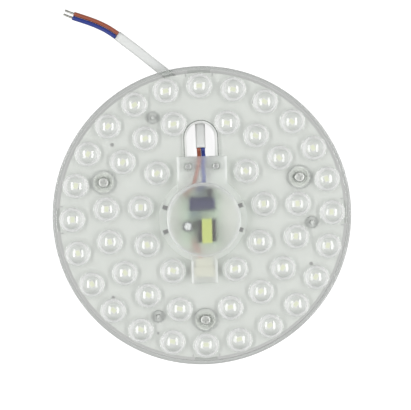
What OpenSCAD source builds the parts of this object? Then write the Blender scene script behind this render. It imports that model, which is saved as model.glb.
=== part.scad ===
// Round LED module for a ceiling light, lying on its three magnet feet with the light side up.
// Millimetres. Z = 0 is the plane of the magnet faces, +Z is the light side, +Y points at the cable slot.

/* [Overall] */

// Diameter of the lens cover over its skirt
module_d = 185; // [180:0.5:200]

/* [LED board] */

// Thickness of the aluminium-core board
board_t = 1.2; // [1:0.1:2]
// Gap between the board's edge and the skirt
board_gap = 2.2; // [1:0.1:3]
// Diameter of the larger tooling holes
tool_hole_d = 2.4; // [1.6:0.1:3]
// Diameter of the smaller tooling holes
pin_hole_d = 1.6; // [1:0.1:2]
// Width of the slits beside each snap hook
slit_w = 0.8; // [0.6:0.1:1.2]
// Depth of the slits from the board's edge
slit_depth = 1.8; // [1:0.1:2.4]
// Angle from a snap hook's side to the slit beside it
slit_turn = 0.9; // [0.6:0.1:2]

/* [LEDs] */

// Length of one LED package
led_l = 3.5; // [3:0.1:4]
// Width of one LED package
led_w = 2.8; // [2.4:0.1:3.2]
// Height of one LED package
led_h = 0.7; // [0.6:0.05:0.9]
// Wall of the package round its phosphor
led_wall = 0.4; // [0.3:0.05:0.6]
// Depth of the phosphor fill
phosphor_t = 0.4; // [0.3:0.05:0.5]
// Distance from the module's edge in to the outer ring of LEDs
led_inset = 12; // [11:0.1:14]
// Gap between the driver cover's ears and the domes of the inner ring
inner_gap = 3.2; // [2.6:0.1:5]

/* [Lens cover] */

// Thickness of the clear plate
plate_t = 1.8; // [1.5:0.1:2.4]
// Space between the board and the plate
lens_gap = 1.6; // [1.2:0.1:2.4]
// Wall of the skirt
skirt_t = 2; // [1.5:0.1:2.6]
// How far the skirt reaches below the board's back
skirt_drop = 1.5; // [1:0.1:3]
// Radius of the rounded edge between plate and skirt
edge_r = 1.2; // [0.6:0.1:1.4]
// Diameter of one dome lens over its foot
lens_d = 16.4; // [15:0.1:16.8]
// Height of one dome lens over the plate
lens_h = 4.6; // [3.5:0.1:6]
// Radius of the hollow curve at a dome's foot
lens_foot_r = 1; // [0.5:0.1:1.6]
// Diameter of the hollow under each dome
cavity_d = 10.4; // [8:0.1:11]
// Depth of that hollow
cavity_h = 2.5; // [1.5:0.1:3]
// How far each snap hook reaches under the board
hook_reach = 1.2; // [0.8:0.1:2]
// Angle that each snap hook spans
hook_angle = 9; // [6:0.5:12]
// Width of the two ribs that steady the board
rib_w = 0.8; // [0.6:0.1:1.2]
// Gap between those ribs and the board's edge
rib_gap = 0.4; // [0.2:0.1:0.6]

/* [Magnet feet] */

// Distance from the outer ring of LEDs in to the feet
foot_inset = 15.8; // [15:0.1:17]
// Diameter of a magnet cup
cup_d = 16; // [12:0.5:20]
// Height of a magnet cup
cup_h = 5; // [4:0.1:7]
// Steel thickness of a magnet cup
cup_wall = 1.2; // [0.8:0.1:1.8]
// Height of a spacer between cup and board
spacer_h = 3; // [2:0.1:5]
// Diameter of a spacer
spacer_d = 10; // [8:0.5:12]
// Diameter of a foot screw's shank
foot_screw_d = 3; // [2.6:0.1:3.5]
// Diameter of a foot screw's head
foot_head_d = 6.2; // [5.4:0.1:6.8]
// Height of a foot screw's head
foot_head_h = 1.8; // [1.4:0.1:2.4]
// Height of a foot screw's end over the magnet's face
foot_screw_end = 1; // [0.5:0.1:2]
// Gap round the head in its well
well_head_gap = 1.1; // [0.8:0.1:1.3]
// Width of the ledge round the well
well_ledge = 2; // [1.6:0.1:2.2]
// Depth of that ledge below the plate
well_ledge_z = 1; // [0.6:0.1:1.2]
// Wall round the ledge
well_wall = 1.1; // [0.8:0.1:1.3]
// Thickness of the well's floor
well_floor = 1.2; // [0.8:0.1:1.6]
// Height of the well's rim over the plate
well_rim = 0.4; // [0.2:0.05:0.8]

/* [Bosses and screws] */

// Distance from the outer ring of LEDs in to the board screws
boss_inset = 12.4; // [12:0.1:13]
// Diameter of the clear bosses that hold the board screws
boss_d = 7.5; // [6.5:0.1:8]
// Height of those bosses over the plate
boss_rise = 1; // [0.5:0.1:2]
// Diameter of a board screw's shank
board_screw_d = 2.4; // [2:0.1:3]
// Diameter of a board screw's head
board_head_d = 5; // [4.4:0.1:6]
// Height of a board screw's head
board_head_h = 1.6; // [1.3:0.1:2]
// Clear plastic over a board screw's end
boss_roof = 1.2; // [0.8:0.1:1.6]
// Clearance round a screw's shank in a through hole, on the diameter
screw_play = 0.4; // [0.2:0.05:0.6]
// Radius of the rounded edge of a screw's head, as a share of the head's height
head_round = 0.4; // [0.2:0.05:0.6]

/* [Cable slot] */

// Width of the slot in the lens cover
slot_w = 20.3; // [18:0.1:20.9]
// How far the board reaches into the slot at each side
slot_ledge = 1.35; // [0.8:0.05:2]
// Distance from the middle ring of LEDs in to the centre of the slot's round end
slot_inset = 11; // [10.6:0.1:12.5]
// Length of the slot from that centre to the driver cover's neck
slot_l = 11.5; // [10.5:0.1:12.5]
// Width of the wire channel from the slot to the driver
channel_w = 9.6; // [8:0.1:10.4]

/* [Driver cover] */

// How far the driver sits from the module's axis, away from the slot
driver_shift = 1.5; // [0.5:0.1:2.5]
// Outer diameter of the window drum
drum_d = 45.2; // [44.6:0.1:46]
// Radius of the drum's rounded edge
drum_edge_r = 1.9; // [1.2:0.1:2.6]
// Wall of the driver cover
cover_t = 1.2; // [0.9:0.1:1.5]
// Gap between the window and the highest component
window_gap = 0.5; // [0.3:0.1:2]
// Gap between the drum and the edge of the opening in the plate
opening_gap = 0.9; // [0.6:0.1:1.1]
// Width of the flange that rests on the plate round the opening
flange_seat = 3.1; // [2.6:0.1:3.6]
// How far the two ears reach past the flange
ear_reach = 0.7; // [0.4:0.1:1]
// Angle that each ear spans
ear_angle = 46; // [44:1:54]
// Height of the ears over the flange
ear_rise = 1; // [0.5:0.1:2]
// Width of the four holes in the ears, round the drum
ear_hole_w = 2.7; // [2.2:0.1:3]
// Length of those holes, away from the drum
ear_hole_l = 3.2; // [2.6:0.1:3.4]
// Gap between the drum's side and each hole
ear_hole_gap = 0.2; // [0.1:0.1:0.4]
// Angle of the holes from the middle of an ear
ear_hole_angle = 17.8; // [16:0.1:18.5]
// Angle that each latch under the ears spans
latch_angle = 20; // [14:1:22]
// Thickness of a latch
latch_t = 1; // [0.8:0.1:1.2]
// How far a latch grips under the plate
latch_lip = 1; // [0.8:0.1:1.4]
// Thickness of that grip
latch_lip_t = 0.8; // [0.6:0.1:1]
// Play of a latch against the plate
latch_play = 0.1; // [0.05:0.05:0.2]
// Width of the neck
neck_w = 30.6; // [29:0.1:32]
// Height of the neck and the tail over the plate
neck_h = 5.8; // [5.2:0.1:8]
// Length of the tail from the drum's axis
tail_l = 39.6; // [39:0.1:41.5]
// Spacing of the two neck screws
neck_screw_gap = 16.9; // [16.5:0.1:19]
// Distance from the neck's end in to the neck screws
neck_screw_inset = 6.1; // [5:0.1:7]
// Diameter of a neck screw's shank
neck_screw_d = 2.2; // [1.8:0.1:2.6]
// Diameter of a neck screw's head
neck_head_d = 3.7; // [3.2:0.1:4.2]
// Height of a neck screw's head
neck_head_h = 1.2; // [1:0.1:1.6]
// Gap round a neck screw's head
neck_head_gap = 0.4; // [0.2:0.1:0.6]
// Wall of the post round that gap
neck_post_wall = 0.75; // [0.5:0.05:0.8]
// Plastic left under the end of a neck screw
neck_hole_floor = 0.6; // [0.4:0.1:1]
// Width of the door through which the wires reach the driver
wire_door_w = 8; // [7:0.1:9]
// Height of that door
wire_door_h = 3.6; // [3.2:0.1:4]

/* [Driver] */

// Gap between the drum and the insulating tray
tray_gap = 0.6; // [0.4:0.1:1]
// Thickness of the tray's floor
tray_t = 0.8; // [0.6:0.1:1.2]
// Thickness of the tray's wall
tray_wall = 0.8; // [0.6:0.1:1.2]
// Diameter of the tray's posts
post_d = 4; // [3:0.1:4.6]
// Distance from the drum's axis to those posts
post_ring_r = 12; // [11.5:0.1:12.4]
// Height of the posts
driver_lift = 2.4; // [2.3:0.1:4]
// Thickness of the driver board
driver_board_t = 1.2; // [0.8:0.1:1.6]
// Width of the driver board
driver_board_w = 24; // [23.5:0.1:28]
// How far the driver board sits to the left of the drum's axis
driver_board_shift = 1.5; // [1.2:0.1:2]
// Distance from the drum's axis to the driver board's end at the connector
driver_board_end = 17.4; // [16.8:0.1:18.2]
// Gap between the driver board and the tray's wall
driver_board_gap = 0.3; // [0.2:0.1:0.6]
// Gap between neighbouring components
part_gap = 1.1; // [0.8:0.1:1.3]
// Diameter of the bulk capacitor
bulk_d = 9; // [8:0.1:9.4]
// Length of the bulk capacitor
bulk_l = 16; // [13:0.1:16.5]
// Diameter of the output capacitor
output_cap_d = 6.3; // [5:0.1:6.8]
// Height of the output capacitor
output_cap_h = 9.8; // [8:0.1:10.3]
// Gap between the output capacitor and the transformer
output_cap_gap = 2.5; // [1.5:0.1:2.7]
// Thickness of a capacitor's sleeve
sleeve_t = 0.2; // [0.1:0.05:0.3]
// How far a sleeve folds over a can's end
sleeve_fold = 0.8; // [0.5:0.1:1.2]
// Diameter of the choke's flanges
choke_d = 5; // [4:0.1:5]
// Height of the choke
choke_h = 6.5; // [5:0.1:8]
// Thickness of the choke's flanges
choke_flange_t = 1; // [0.6:0.1:1.4]
// Depth of the choke's waist
choke_waist = 0.6; // [0.4:0.1:1]
// Gap between the choke and the bulk capacitor
choke_gap = 0.3; // [0.2:0.1:0.3]
// Diameter of the fusible resistor
resistor_d = 2.4; // [1.8:0.1:2.6]
// Length of the fusible resistor
resistor_l = 6.5; // [5:0.1:7]
// Diameter of a component's wire
wire_d = 0.6; // [0.5:0.1:0.8]
// Length of wire before its bend
wire_reach = 1; // [0.8:0.1:1.2]
// Distance between the bulk capacitor's wires
bulk_wire_gap = 3.5; // [2.5:0.1:4]

/* [Transformer] */

// Width of the yellow band, which is also the coil's length
band_w = 6.1; // [5:0.1:6.6]
// Thickness of the yellow band
band_t = 0.6; // [0.4:0.1:1]
// Height of the wound coil
coil_h = 8.2; // [7.5:0.1:10]
// Gap between the coil and the core's back walls
coil_gap = 0.25; // [0.2:0.05:0.4]
// Width of the ferrite core
ferrite_w = 13.6; // [12.5:0.1:13.8]
// Height of the ferrite core
ferrite_h = 5.5; // [4.5:0.1:7]
// Thickness of the core's outer legs and centre leg
leg_t = 2.6; // [2:0.1:2.8]
// Thickness of the core's back walls
back_t = 2.6; // [2:0.1:2.8]
// Thickness of the moulded base
base_t = 1; // [0.8:0.1:1.6]

/* [Output connector] */

// Width of the header
header_w = 12.4; // [12:0.1:13]
// Length of the header
header_l = 6; // [5:0.1:6.4]
// Height of the header
header_h = 6.4; // [6:0.1:7]
// Gap between the header and the tail's end wall
header_gap = 2.5; // [2:0.1:3]
// Gap between the header and the edges of its opening in the plate
header_play = 0.4; // [0.3:0.1:0.6]
// Wall of the header round the plug
header_wall = 0.8; // [0.6:0.1:1]
// Play of the plug in the header
plug_play = 0.1; // [0.05:0.05:0.2]
// Depth to which the plug is pushed in
plug_depth = 3.6; // [3:0.1:4]
// Length of the plug
plug_l = 9.2; // [8:0.1:9.4]
// Distance between the output leads
lead_spacing = 2.5; // [2:0.1:3]

/* [Cable] */

// Width of the flat sheath
sheath_w = 6; // [5.6:0.1:6.4]
// Thickness of the flat sheath
sheath_t = 3.6; // [3.2:0.1:4]
// Diameter of one insulated core
core_d = 2.6; // [2.2:0.1:2.6]
// Gap between the two cores
core_gap = 0.2; // [0.1:0.1:0.4]
// Diameter of a tinned tip
tip_d = 1.4; // [1:0.1:1.6]
// Diameter of an output lead
lead_d = 1.6; // [1.2:0.1:1.8]
// Length of the bare cores between the driver cover's neck and the sheath's end
cable_bare = 4.9; // [3:0.1:8]
// Height of the cable over the board's back where it comes up through the slot
cable_rise = 1.3; // [1:0.1:1.6]

/* [Hidden] */

$fn = 48;
eps = 0.02;
over = 1;

// Heights, from the magnet faces up.
board_z = cup_h + spacer_h;
board_top = board_z + board_t;
plate_z = board_top + lens_gap;
plate_top = plate_z + plate_t;
skirt_z = board_z - skirt_drop;
tray_top = board_top + tray_t;
driver_z = tray_top + driver_lift;
driver_top = driver_z + driver_board_t;
band_z = driver_top + base_t;
coil_z = band_z + band_t;
coil_top = coil_z + coil_h;
ferrite_z = coil_z + (coil_h - ferrite_h) / 2;
window_z = coil_top + band_t + window_gap;
cover_top = window_z + cover_t;
neck_top = plate_top + neck_h;

// Drum, flange, ears and latches.
drum_r = drum_d / 2;
drum_in_r = drum_r - cover_t;
opening_r = drum_r + opening_gap;
flange_r = opening_r + flange_seat;
ear_r = flange_r + ear_reach;
ear_top = plate_top + cover_t + ear_rise;
ear_hole_r = drum_r + ear_hole_gap;
latch_out_r = opening_r - latch_play;
latch_in_r = latch_out_r - latch_t;
latch_top = plate_z - latch_play;
latch_z = latch_top - latch_lip_t;

// Lens cover and board.
module_r = module_d / 2;
skirt_in_r = module_r - skirt_t;
board_r = skirt_in_r - board_gap;
lens_r = lens_d / 2;
outer_ring_r = module_r - led_inset;
inner_ring_r = ear_r + inner_gap + lens_r;
middle_ring_r = (outer_ring_r + inner_ring_r) / 2;
outer_angles = [for (k = [0 : 23]) 15 * k];
middle_half = [16.1, 35, 54.4, 84.3, 104, 124.6, 143.9, 164.6];
middle_angles = [for (s = [-1, 1]) for (a = middle_half) s * a];
inner_half = [45.4, 80.5, 116, 150];
inner_angles = [for (s = [-1, 1]) for (a = inner_half) s * a];
// The ball of a dome, and the height where it joins the curve at its foot.
lens_ball_r = (lens_r * lens_r + lens_h * lens_h) / (2 * lens_h) - lens_foot_r;
lens_ball_z = plate_top + lens_h - lens_ball_r;
lens_foot_z = plate_top + lens_foot_r;
lens_join_z = lens_ball_z + (lens_foot_z - lens_ball_z) * lens_ball_r / (lens_ball_r + lens_foot_r);
cavity_r = cavity_d / 2;
cavity_ball_r = (cavity_r * cavity_r + cavity_h * cavity_h) / (2 * cavity_h);
hook_angles = [0, 90, 180, 270];
slit_angle = hook_angle / 2 + slit_turn;
rib_angles = [39.5, 220];
// Distance in from the outer ring of LEDs, and angle.
tool_holes = [[9.4, 309.8], [5.4, 229.1], [6.4, 115.4]];
pin_holes = [[2.4, 202.3], [3.3, 25.7]];

// Feet and bosses.
foot_angles = [69.7, 180, 290.3];
foot_ring_r = outer_ring_r - foot_inset;
boss_angles = [334.5, 94.9, 205.4];
boss_ring_r = outer_ring_r - boss_inset;
magnet_bore_r = foot_screw_d / 2 + cup_wall;
magnet_r = cup_d / 2 - cup_wall;
magnet_h = cup_h - cup_wall;
well_bore_r = foot_head_d / 2 + well_head_gap;
well_ledge_r = well_bore_r + well_ledge;
well_r = well_ledge_r + well_wall;
well_bore_z = board_top + well_floor;
foot_hole_r = (foot_screw_d + screw_play) / 2;
board_hole_r = (board_screw_d + screw_play) / 2;
pilot_z = plate_top + boss_rise - boss_roof;

// Slot, neck and tail.
slot_y = middle_ring_r - slot_inset;
board_slot_w = slot_w - 2 * slot_ledge;
neck_y = slot_y - slot_l;
neck_screw_y = neck_y - neck_screw_inset;
neck_seat_z = neck_top - neck_head_h;
neck_pit_r = neck_head_d / 2 + neck_head_gap;
neck_post_r = neck_pit_r + neck_post_wall;
neck_hole_z = board_top + neck_hole_floor;
tail_y = -driver_shift - tail_l;
tail_channel_w = header_w + 2 * header_play;
tail_w = tail_channel_w + 2 * cover_t + header_play;

// Driver, measured from the drum's axis.
tray_r = drum_in_r - tray_gap;
driver_board_r = tray_r - tray_wall - driver_board_gap;
transformer_pos = [1.7, -6.9];
ferrite_l = band_w + 2 * (coil_gap + back_t);
ferrite_slot = (ferrite_w - 3 * leg_t) / 2;
band_edge_y = transformer_pos[1] + ferrite_w / 2 + band_t;
resistor_pos = [-5, band_edge_y + part_gap + resistor_d / 2];
bulk_pos = [-0.8, resistor_pos[1] + resistor_d / 2 + part_gap + bulk_d / 2];
choke_pos = [4.2, bulk_pos[1] + bulk_d / 2 + choke_gap + choke_d / 2];
output_cap_pos = [transformer_pos[0] - ferrite_l / 2 - output_cap_gap - output_cap_d / 2, -3.9];
// Length, width and height of each chip, and the number and spacing of its legs.
bridge_size = [4.7, 3.9, 2.1];
bridge_pos = [-1, 6.5];
bridge_legs = [2, 2.5];
chip_size = [4.9, 3.9, 1.6];
chip_pos = [3, -4.5];
chip_legs = [4, 1.27];
chip_leg_w = 0.4;
chip_leg_t = 0.2;
chip_leg_reach = 0.9;
// Width, length and depth of the cross in each kind of screw.
neck_cross = [0.5, 2, 0.7];
foot_cross = [0.9, 3.6, 1];
board_cross = [0.7, 2.9, 0.9];
// Width, length and depth of the cross that lets a capacitor vent.
vent_cross = [0.4, 3.6, 0.3];

// Output connector.
header_y0 = tail_y + cover_t + header_gap;
header_y1 = header_y0 + header_l;
plug_w = header_w - 2 * (header_wall + plug_play);
plug_h = header_h - 2 * (header_wall + plug_play);
plug_z = board_top + header_wall + plug_play;
plug_y0 = header_y1 - plug_depth;
plug_y1 = plug_y0 + plug_l;
plug_mid_z = plug_z + plug_h / 2;

// Cable and leads: the points that each one passes through, and its headings where ends meet.
flat_share = cos(22.5);
floor_z = sheath_t / 2;
core_floor_z = core_d / 2;
cable_z = board_z + cable_rise;
cable_end_y = neck_y + cable_bare;
core_half_gap = (core_d + core_gap) / 2;
core_rest_z = driver_top + core_d / 2 * flat_share;
lead_rest_z = driver_top + lead_d / 2 * flat_share;
slot_heading = [0, 3.5, -1];
joint_heading = [-7, 5, -0.2];
tip_heading = [-7, 2.9, 0];
// Points given from the sheath's end in the slot, or from the drum's axis.
function from_slot(points) = [for (p = points) [p[0], p[1] + cable_end_y, p[2]]];
function from_drum(points) = [for (p = points) [p[0], p[1] - driver_shift, p[2]]];
sheath_route = from_slot([
    [0, 0, cable_z], [0, 7, cable_z - 2], [0, 15, 4.6], [-1.5, 22, 2.6], [-5, 30, floor_z],
    [-10.5, 38, floor_z], [-18, 45, floor_z], [-27, 52.5, floor_z], [-38, 61.7, floor_z],
    [-49.5, 70.8, floor_z]
]);
core_route = from_slot([
    [-49.5, 70.8, floor_z], [-56, 75.2, 1.6], [-63, 78.7, 1.4], [-70, 81.4, core_floor_z],
    [-76.3, 83.6, core_floor_z]
]);
tip_route = from_slot([[-76.3, 83.6, core_floor_z], [-79, 84.7, core_floor_z], [-81.8, 85.9, core_floor_z]]);
brown_route = concat(
    from_slot([[-core_half_gap, 0, cable_z], [-core_half_gap, -2.8, cable_z + 0.8]]),
    [[-1.5, neck_y - 0.6, plate_top + 0.8], [-2.4, neck_screw_y - 1, plate_top + 1.8]],
    from_drum([
        [-4.4, 24.5, plate_top + 2.4], [-6, 20.3, plate_top + 3.2], [-8.4, 18.1, plate_top + 3],
        [-10.4, 16.1, core_rest_z + 0.5], [-11, 14.1, core_rest_z]
    ])
);
blue_route = concat(
    from_slot([[core_half_gap, 0, cable_z], [core_half_gap, -2.8, cable_z + 0.8]]),
    [[1.3, neck_y - 0.6, plate_top + 0.8], [0.7, neck_screw_y - 1, plate_top + 1.8]],
    from_drum([
        [1.1, 24.9, plate_top + 2.4], [0.2, 21.1, plate_top + 2.8], [-1.6, 18.5, core_rest_z + 0.5],
        [-2.8, 16.5, core_rest_z]
    ])
);
red_route = concat(
    [[-lead_spacing / 2, plug_y1, plug_mid_z], [-1.4, plug_y1 + 1.2, plug_mid_z]],
    from_drum([
        [-3.4, 1.3 - tray_r, plate_top + 2.4], [-5, -16.9, plate_top + 3.4], [-6, -14.5, lead_rest_z + 0.4],
        [-6.2, -12.7, lead_rest_z]
    ])
);
white_route = concat(
    [[lead_spacing / 2, plug_y1, plug_mid_z], [lead_spacing / 2, plug_y1 + 1.2, plug_mid_z]],
    from_drum([
        [0.6, 0.9 - tray_r, plate_top + 2.2], [-0.8, -17.9, plate_top + 2.6],
        [-2.6, -16.5, lead_rest_z + 0.4], [-4.2, -15.5, lead_rest_z]
    ])
);

// Angles run clockwise from +Y, as on the face of a clock.
module at(r, a) rotate([0, 0, -a]) translate([0, r, 0]) children();
module on_feet() for (a = foot_angles) at(foot_ring_r, a) children();
module on_bosses() for (a = boss_angles) at(boss_ring_r, a) children();
module on_neck_posts() for (s = [-1, 1]) translate([s * neck_screw_gap / 2, neck_screw_y, 0]) children();
module on_lenses() {
    for (a = outer_angles) at(outer_ring_r, a) children();
    for (a = middle_angles) at(middle_ring_r, a) children();
    for (a = inner_angles) at(inner_ring_r, a) children();
}
// Places inside the driver are measured from the drum's axis.
module in_driver() translate([0, -driver_shift, 0]) children();
module on_driver(pos, z) in_driver() translate([pos[0], pos[1], z]) children();

module disc(r, z0, z1) translate([0, 0, z0]) cylinder(r = r, h = z1 - z0);

// A rod of radius r along +X from x0 to x1.
module rod(r, x0, x1) translate([x0, 0, 0]) rotate([0, 90, 0]) cylinder(r = r, h = x1 - x0);

// A block from z0 to z1, centred on x and running from y0 to y1.
module block(w, y0, y1, z0, z1) translate([-w / 2, y0, z0]) cube([w, y1 - y0, z1 - z0]);

// Two crossed grooves of the stated width and length, from z0 to z1.
module cross_cut(size, z0, z1)
    for (t = [0, 90]) rotate([0, 0, t]) block(size[0], -size[1] / 2, size[1] / 2, z0, z1);

// A slot that is open from y0 up to a round end.
module arch(w, y0, z0, z1) {
    block(w, y0, slot_y, z0, z1);
    translate([0, slot_y, 0]) disc(w / 2, z0, z1);
}

// Drum of radius r and top z1, with a rounded upper edge.
module drum(r, z0, z1, edge)
    rotate_extrude()
    union() {
        translate([0, z0]) square([r, z1 - edge - z0]);
        translate([0, z0]) square([r - edge, z1 - z0]);
        translate([r - edge, z1 - edge]) circle(edge);
    }

// Part of a ring between two radii and two heights, centred on the angle a.
module ring_part(r0, r1, z0, z1, a, span)
    rotate([0, 0, 90 - a - span / 2])
    rotate_extrude(angle = span)
    translate([r0, z0])
    square([r1 - r0, z1 - z0]);

module ear_holes(z0, z1)
    in_driver()
    for (a = [90, 270]) for (s = [-1, 1])
        at(ear_hole_r, a + s * ear_hole_angle) block(ear_hole_w, 0, ear_hole_l, z0, z1);

// A ball that runs out into the plate through a hollow curve.
module lens_dome()
    rotate_extrude()
    union() {
        intersection() {
            translate([0, lens_ball_z]) circle(lens_ball_r, $fn = 96);
            translate([0, lens_join_z]) square([lens_r, lens_h]);
        }
        difference() {
            translate([0, plate_z + plate_t / 2]) square([lens_r, lens_join_z - plate_z - plate_t / 2]);
            translate([lens_r, lens_foot_z]) circle(lens_foot_r);
        }
    }

module lens_cavity()
    rotate_extrude()
    intersection() {
        translate([0, plate_z + cavity_h - cavity_ball_r]) circle(cavity_ball_r, $fn = 96);
        translate([0, plate_z - eps]) square([cavity_r + over, cavity_h + over]);
    }

// Clear plate and skirt as one turned profile with a rounded edge.
module cover_shell()
    rotate_extrude($fn = 180)
    union() {
        translate([0, plate_z]) square([module_r - edge_r, plate_t]);
        translate([skirt_in_r, skirt_z]) square([skirt_t, plate_top - edge_r - skirt_z]);
        translate([module_r - edge_r, plate_top - edge_r]) circle(edge_r);
    }

module lens_cover()
    color([0.93, 0.96, 0.95])
    difference() {
        union() {
            cover_shell();
            on_lenses() lens_dome();
            for (a = hook_angles)
                ring_part(board_r - hook_reach, skirt_in_r + eps, skirt_z, board_z, a, hook_angle);
            for (a = rib_angles)
                rotate([0, 0, -a])
                block(rib_w, board_r + rib_gap, skirt_in_r + eps, board_top, plate_z + eps);
            on_feet() disc(well_r, board_top, plate_top + well_rim);
            on_bosses() disc(boss_d / 2, board_top, plate_top + boss_rise);
            on_neck_posts() disc(neck_post_r, board_top, plate_top);
        }
        on_lenses() lens_cavity();
        on_feet() {
            disc(well_ledge_r, plate_top - well_ledge_z, plate_top + over);
            disc(well_bore_r, well_bore_z, plate_top + over);
            disc(foot_hole_r, board_top - over, plate_top);
        }
        on_bosses() disc(board_screw_d / 2, board_top - over, pilot_z);
        on_neck_posts() disc(neck_screw_d / 2, neck_hole_z, plate_top + over);
        arch(slot_w, neck_y - over, plate_z - over, plate_top + over);
        block(channel_w, 0, neck_y, plate_z - over, plate_top + over);
        in_driver() disc(opening_r, plate_z - over, plate_top + over);
        block(tail_channel_w, header_y0 - header_play, 0, plate_z - over, plate_top + over);
        ear_holes(plate_z - over, plate_top + over);
    }

module board_hole(r) disc(r, board_z - over, board_top + over);

module led_board()
    color([0.92, 0.94, 0.92])
    difference() {
        disc(board_r, board_z, board_top, $fn = 180);
        arch(board_slot_w, neck_y - over, board_z - over, board_top + over);
        ear_holes(board_z - over, board_top + over);
        on_feet() board_hole(foot_hole_r);
        on_bosses() board_hole(board_hole_r);
        for (h = tool_holes) at(outer_ring_r - h[0], h[1]) board_hole(tool_hole_d / 2);
        for (h = pin_holes) at(outer_ring_r - h[0], h[1]) board_hole(pin_hole_d / 2);
        for (a = hook_angles) for (s = [-1, 1])
            rotate([0, 0, -a + s * slit_angle])
            block(slit_w, board_r - slit_depth, board_r + over, board_z - over, board_top + over);
    }

// The phosphor's outline, from its floor up to z1.
module led_fill(z1)
    block(
        led_l - 2 * led_wall, led_wall - led_w / 2, led_w / 2 - led_wall,
        board_top + led_h - phosphor_t, z1
    );

module led_package()
    difference() {
        block(led_l, -led_w / 2, led_w / 2, board_top, board_top + led_h);
        led_fill(board_top + led_h + over);
    }

module led_packages(r, angles)
    color([0.95, 0.95, 0.92])
    for (a = angles) at(r, a) led_package();

module led_phosphors(r, angles)
    color([0.93, 0.9, 0.5])
    for (a = angles) at(r, a) led_fill(board_top + led_h);

module cover_outside() {
    in_driver() {
        disc(flange_r, plate_top, plate_top + cover_t);
        drum(drum_r, plate_top, cover_top, drum_edge_r);
        for (a = [90, 270]) {
            ring_part(drum_in_r, ear_r, plate_top, ear_top, a, ear_angle);
            ring_part(latch_in_r, latch_out_r, latch_z, plate_top + eps, a, latch_angle);
            ring_part(latch_in_r, opening_r + latch_lip, latch_z, latch_top, a, latch_angle);
        }
    }
    block(neck_w, 0, neck_y, plate_top, neck_top);
    block(tail_w, tail_y, 0, plate_top, neck_top);
}

module cover_inside()
    difference() {
        union() {
            in_driver() drum(drum_in_r, plate_top - over, window_z, drum_edge_r - cover_t / 2);
            block(neck_w - 2 * cover_t, 0, neck_y - cover_t, plate_top - over, neck_top - cover_t);
            block(tail_w - 2 * cover_t, tail_y + cover_t, 0, plate_top - over, neck_top - cover_t);
            block(wire_door_w, 0, neck_y + over, plate_top - over, plate_top + wire_door_h);
        }
        on_neck_posts() disc(neck_post_r, plate_top, neck_top);
        in_driver()
            for (a = [90, 270]) ring_part(latch_in_r, opening_r, plate_z - over, plate_top, a, latch_angle);
    }

module driver_cover()
    color([0.9, 0.92, 0.9])
    difference() {
        cover_outside();
        cover_inside();
        on_neck_posts() {
            disc((neck_screw_d + screw_play) / 2, plate_top - over, neck_top);
            disc(neck_pit_r, neck_seat_z, neck_top + over);
        }
        ear_holes(plate_top - over, ear_top + over);
    }

// A screw with a rounded head from z1 up to z2, a shank down from it to z0, and a cross in the head.
module screw(shank_d, head_d, z0, z1, z2, cross)
    difference() {
        union() {
            drum(head_d / 2, z1, z2, (z2 - z1) * head_round);
            disc(shank_d / 2, z0, z1 + eps);
        }
        cross_cut(cross, z2 - cross[2], z2 + over);
    }

module cover_screws()
    color([0.3, 0.31, 0.3])
    on_neck_posts() screw(neck_screw_d, neck_head_d, neck_hole_z, neck_seat_z, neck_top, neck_cross);

module magnet_screws()
    color([0.75, 0.76, 0.75])
    on_feet()
    screw(foot_screw_d, foot_head_d, foot_screw_end, well_bore_z, well_bore_z + foot_head_h, foot_cross);

module board_screws()
    color([0.72, 0.73, 0.72])
    on_bosses()
    translate([0, 0, board_z])
    rotate([180, 0, 0])
    screw(board_screw_d, board_head_d, board_z - pilot_z, 0, board_head_h, board_cross);

module magnet_cup(a)
    color([0.7, 0.71, 0.72])
    at(foot_ring_r, a)
    difference() {
        disc(cup_d / 2, 0, cup_h);
        difference() {
            disc(magnet_r, -over, magnet_h);
            disc(magnet_bore_r, -2 * over, cup_h);
        }
        disc(foot_screw_d / 2, -over, cup_h + over);
    }

module magnet_ring(a)
    color([0.25, 0.25, 0.27])
    at(foot_ring_r, a)
    difference() {
        disc(magnet_r, 0, magnet_h);
        disc(magnet_bore_r, -over, cup_h);
    }

module magnet_spacer(a)
    color([0.92, 0.92, 0.9])
    at(foot_ring_r, a)
    difference() {
        disc(spacer_d / 2, cup_h, board_z);
        disc(foot_hole_r, cup_h - over, board_z + over);
    }

module driver_tray()
    color([0.93, 0.93, 0.91])
    in_driver() {
        disc(tray_r, board_top, tray_top);
        difference() {
            disc(tray_r, board_top, driver_z);
            disc(tray_r - tray_wall, board_top - over, driver_z + over);
        }
        for (a = [45, 135, 225, 315]) at(post_ring_r, a) disc(post_d / 2, tray_top - eps, driver_z);
    }

module driver_board()
    color([0.25, 0.5, 0.35])
    in_driver()
    intersection() {
        disc(driver_board_r, driver_z, driver_top);
        translate([-driver_board_shift, 0, 0])
            block(driver_board_w, -driver_board_end, tray_r, driver_z - over, driver_top + over);
    }

// The lying capacitor's axis, with its wires at the left end.
module on_bulk() on_driver([bulk_pos[0] - bulk_l / 2, bulk_pos[1]], driver_top + bulk_d / 2) children();

module bulk_capacitor_can()
    color([0.8, 0.81, 0.82])
    on_bulk() {
        difference() {
            rod(bulk_d / 2 - sleeve_t, sleeve_t, bulk_l - sleeve_t);
            translate([bulk_l - sleeve_t, 0, 0])
                rotate([0, 90, 0])
                cross_cut(vent_cross, -vent_cross[2], over);
        }
        for (s = [-1, 1]) translate([0, s * bulk_wire_gap / 2, 0]) {
            rod(wire_d / 2, -wire_reach, sleeve_t + eps);
            translate([wire_d / 2 - wire_reach, 0, 0]) disc(wire_d / 2, -bulk_d / 2, 0);
        }
    }

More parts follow.
